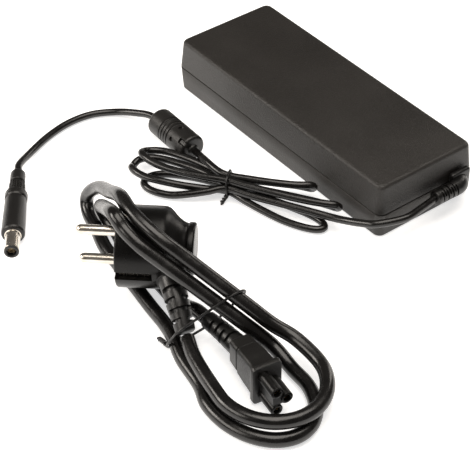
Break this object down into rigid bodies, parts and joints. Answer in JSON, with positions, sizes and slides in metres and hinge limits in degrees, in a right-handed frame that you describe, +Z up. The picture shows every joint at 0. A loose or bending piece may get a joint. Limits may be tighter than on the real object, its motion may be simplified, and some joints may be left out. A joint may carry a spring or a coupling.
{
  "type": "laptop power adapter",
  "caption": "Rectangular two-shell laptop power supply brick with a captive low-voltage lead, ferrite and barrel plug, and a coiled mains lead with a round-bodied plug and cloverleaf connector.",
  "frame": {"origin": "middle of the brick's underside, on the surface it lies on", "axes": "+X along the brick's long side towards the low-voltage lead's boot, +Y across it away from the coiled leads, +Z up"},
  "size_m": [0.2499, 0.2111, 0.0546],
  "materials": {
    "case_black": "fine-textured moulded charcoal plastic",
    "case_charcoal": "fine-textured moulded charcoal plastic, a shade lighter",
    "label_grey": "blank satin label film",
    "socket_black": "satin moulded plastic",
    "plug_rubber": "satin moulded soft plastic",
    "cord_rubber": "glossy extruded cord jacket",
    "wire_tie": "plastic-coated wire",
    "nickel": "bright nickel plating",
    "contact_brass": "plain brass",
    "ferrite_grey": "sintered ferrite, matte",
    "board_green": "solder-masked board",
    "film_white": "insulating film",
    "sheet_aluminium": "plain rolled sheet",
    "package_black": "moulded epoxy package",
    "capacitor_sleeve": "shrink sleeve",
    "winding_tape": "yellow winding tape",
    "winding_copper": "enamelled copper wire",
    "ceramic": "glazed ceramic"
  },
  "bodies": {
    "adapter": {"top_cover": "case_black", "bottom_cover": "case_charcoal", "rating_label": "label_grey", "inlet_housing": "socket_black", "inlet_pin_line": "nickel", "inlet_pin_neutral": "nickel", "inlet_pin_earth": "nickel", "circuit_board": "board_green", "insulation_sheet": "film_white", "heat_spreader": "sheet_aluminium", "fuse": "ceramic", "thermistor": "ceramic", "x_capacitor": "winding_tape", "common_mode_choke": "winding_copper", "y_capacitor": "ceramic", "bridge_rectifier": "package_black", "boost_choke": "winding_tape", "bulk_capacitor": "capacitor_sleeve", "primary_heatsink": "sheet_aluminium", "primary_switch": "package_black", "transformer_core": "ferrite_grey", "transformer_winding": "winding_tape", "optocoupler": "package_black", "secondary_heatsink": "sheet_aluminium", "output_rectifier": "package_black", "output_capacitor_1": "capacitor_sleeve", "output_capacitor_2": "capacitor_sleeve", "dc_boot": "plug_rubber", "dc_cord_to_hank": "cord_rubber", "dc_cord_hank": "cord_rubber", "dc_cord_tie": "wire_tie", "dc_cord_to_plug": "cord_rubber", "ferrite_sleeve": "plug_rubber", "ferrite_core": "ferrite_grey", "dc_plug_housing": "plug_rubber", "dc_plug_barrel": "nickel", "dc_plug_tip_ring": "socket_black", "dc_plug_centre_pin": "contact_brass"},
    "mains_lead": {"mains_plug_body": "plug_rubber", "mains_plug_pin_upper": "nickel", "mains_plug_pin_lower": "nickel", "earth_clip_near": "nickel", "earth_clip_far": "nickel", "earth_socket_sleeve": "nickel", "mains_plug_relief": "plug_rubber", "mains_cord": "cord_rubber", "mains_cord_tie": "wire_tie", "connector_body": "plug_rubber", "connector_relief": "plug_rubber", "connector_contact_line": "contact_brass", "connector_contact_neutral": "contact_brass", "connector_contact_earth": "contact_brass"}
  },
  "joints": [
    {"name": "mains_lead_lift", "type": "slide", "parent": "adapter", "child": "mains_lead", "axis": [0, 0, 1], "range_m": [0, 0.08]}
  ]
}
